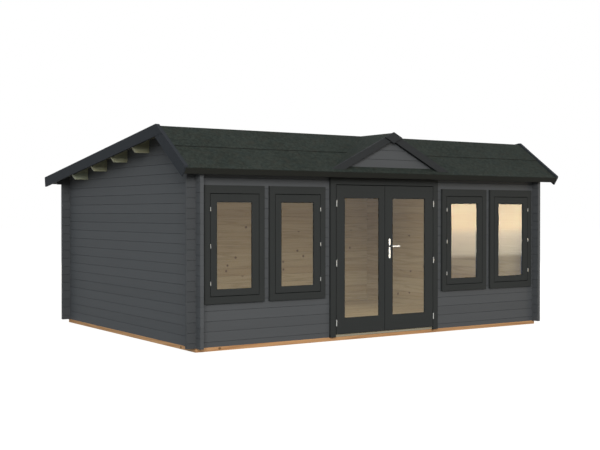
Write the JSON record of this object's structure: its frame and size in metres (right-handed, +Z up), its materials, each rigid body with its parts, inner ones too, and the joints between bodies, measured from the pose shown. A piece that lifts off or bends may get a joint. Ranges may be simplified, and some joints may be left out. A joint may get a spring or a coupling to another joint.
{
  "type": "log garden house",
  "caption": "Low log-walled garden house with a front-set ridge, a small gable over its glazed double doors, casement windows at both sides and felt on an uneven pitched roof.",
  "frame": {"origin": "centre of the plan over the roof's edges, at the underside of the bearers", "axes": "+Z up, -Y out through the doors, X along the ridge with +X to the right seen from the front"},
  "size_m": [5.778, 4.266, 2.5328],
  "materials": {
    "wall_paint": "satin grey paint on planed spruce logs, bare inside",
    "trim_paint": "satin dark grey paint on planed spruce",
    "edge_paint": "satin dark grey paint on planed boards",
    "bare_wood": "planed bare spruce with knots",
    "floor_wood": "planed bare spruce boards",
    "bearer_wood": "sawn softwood, unpainted",
    "threshold_wood": "oiled hardwood",
    "roof_felt": "bitumen felt with green-grey mineral chips",
    "glass": "clear float glass",
    "steel": "satin"
  },
  "bodies": {
    "house": {"long_bearers": "bearer_wood", "side_bearers": "bearer_wood", "floor_joists": "bearer_wood", "floor_boards": "floor_wood", "front_wall_left": "wall_paint", "front_wall_right": "wall_paint", "front_wall_over_door": "wall_paint", "back_wall": "wall_paint", "left_wall": "wall_paint", "right_wall": "wall_paint", "purlins": "bare_wood", "roof_boards_front": "bare_wood", "roof_boards_back": "bare_wood", "roof_felt_front": "roof_felt", "roof_felt_back": "roof_felt", "back_bargeboards": "edge_paint", "front_bargeboards": "edge_paint", "fascias": "edge_paint", "dormer_gable": "wall_paint", "dormer_boards": "bare_wood", "dormer_felt": "roof_felt", "dormer_bargeboards": "edge_paint", "edge_battens": "edge_paint", "dormer_peak_plate": "edge_paint", "door_frame": "trim_paint", "threshold": "threshold_wood", "window_panes": "glass", "window_hinges": "steel", "frame_hinges": "steel", "window_frame_outer_left": "trim_paint", "window_sash_outer_left": "trim_paint", "window_frame_inner_left": "trim_paint", "window_sash_inner_left": "trim_paint", "window_frame_inner_right": "trim_paint", "window_sash_inner_right": "trim_paint", "window_frame_outer_right": "trim_paint", "window_sash_outer_right": "trim_paint"},
    "left_door": {"left_door_leaf": "trim_paint", "left_door_glass": "glass", "left_door_hinges": "steel"},
    "right_door": {"right_door_leaf": "trim_paint", "right_door_glass": "glass", "right_door_hinges": "steel", "handle_plates": "steel"},
    "handle": {"handle_lever": "steel"}
  },
  "joints": [
    {"name": "left_door_swing", "type": "hinge", "parent": "house", "child": "left_door", "pos_m": [-0.7635, -1.962, 0.93], "axis": [0, 0, -1], "range_deg": [0, 110]},
    {"name": "right_door_swing", "type": "hinge", "parent": "house", "child": "right_door", "pos_m": [0.7635, -1.962, 0.93], "axis": [0, 0, 1], "range_deg": [0, 110]},
    {"name": "lever_turn", "type": "hinge", "parent": "right_door", "child": "handle", "pos_m": [0.048, -1.955, 1.122], "axis": [0, 1, 0], "range_deg": [0, 45], "stiffness_Nm_per_rad": 1.5, "springref_deg": -34.38}
  ]
}
